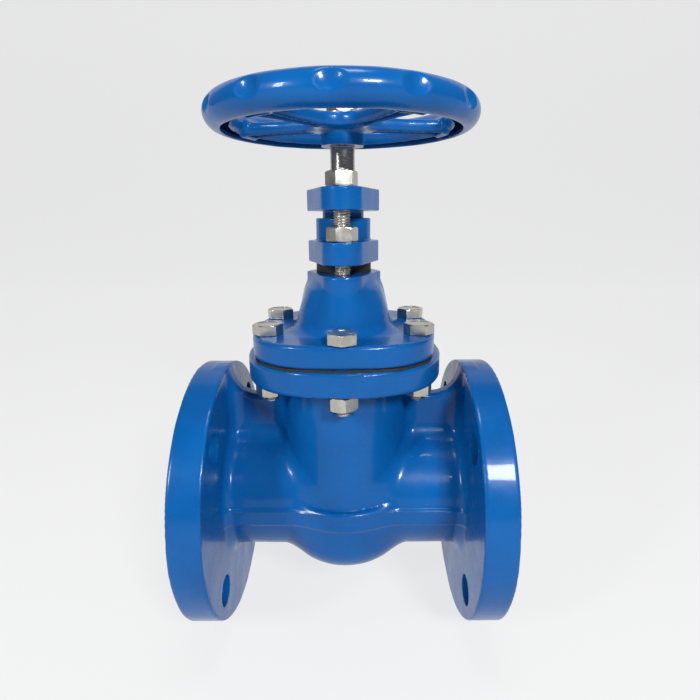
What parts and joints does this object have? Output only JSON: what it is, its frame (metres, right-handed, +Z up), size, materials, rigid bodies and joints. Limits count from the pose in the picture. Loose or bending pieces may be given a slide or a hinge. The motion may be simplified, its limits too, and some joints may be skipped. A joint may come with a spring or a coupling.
{
  "type": "gate valve",
  "caption": "Flanged cast-iron gate valve with bolted bonnet, bolted stuffing box, non-rising stem and spoked handwheel, painted blue.",
  "frame": {"origin": "where the flow axis meets the stem axis, in the middle of the flow bore", "axes": "+X along the flow bore, +Z up the stem to the handwheel, -Y is the front"},
  "size_m": [0.198, 0.175, 0.3392],
  "materials": {
    "blue_paint": "gloss",
    "zinc_steel": "satin",
    "stem_steel": "turned",
    "seat_bronze": "machined",
    "cast_iron_bare": "matt",
    "gasket_black": "matt",
    "packing_graphite": "matt"
  },
  "bodies": {
    "valve_body": {"body": "blue_paint", "seat_rings": "seat_bronze", "bonnet_gasket": "gasket_black", "bonnet": "blue_paint", "stem_bush": "seat_bronze", "bonnet_bolts": "zinc_steel", "bonnet_nuts": "zinc_steel", "thrust_washer_lower": "seat_bronze", "thrust_washer_upper": "seat_bronze", "neck_ring": "gasket_black", "stuffing_box": "blue_paint", "packing_base_ring": "seat_bronze", "packing": "packing_graphite", "gland_studs": "zinc_steel", "box_nuts": "zinc_steel"},
    "stem_and_wheel": {"stem": "stem_steel", "handwheel": "blue_paint", "wheel_washer": "zinc_steel", "wheel_nut": "zinc_steel"},
    "gate": {"wedge": "cast_iron_bare", "wedge_rings": "seat_bronze", "stem_nut": "seat_bronze"},
    "gland": {"gland": "blue_paint", "gland_nuts": "zinc_steel"}
  },
  "joints": [
    {"name": "wheel_turn", "type": "hinge", "parent": "valve_body", "child": "stem_and_wheel", "pos_m": [0, 0, 0.24], "axis": [0, 0, 1], "range_deg": [-6300, 0]},
    {"name": "gate_lift", "type": "slide", "parent": "valve_body", "child": "gate", "axis": [0, 0, 1], "range_m": [-0.07, 0]},
    {"name": "gland_adjust", "type": "slide", "parent": "valve_body", "child": "gland", "axis": [0, 0, 1], "range_m": [-0.0035, 0], "deforming": ["packing"]}
  ],
  "couplings": [
    {"joint": "gate_lift", "follows": "wheel_turn", "m_per_rad": 0.00063662}
  ]
}
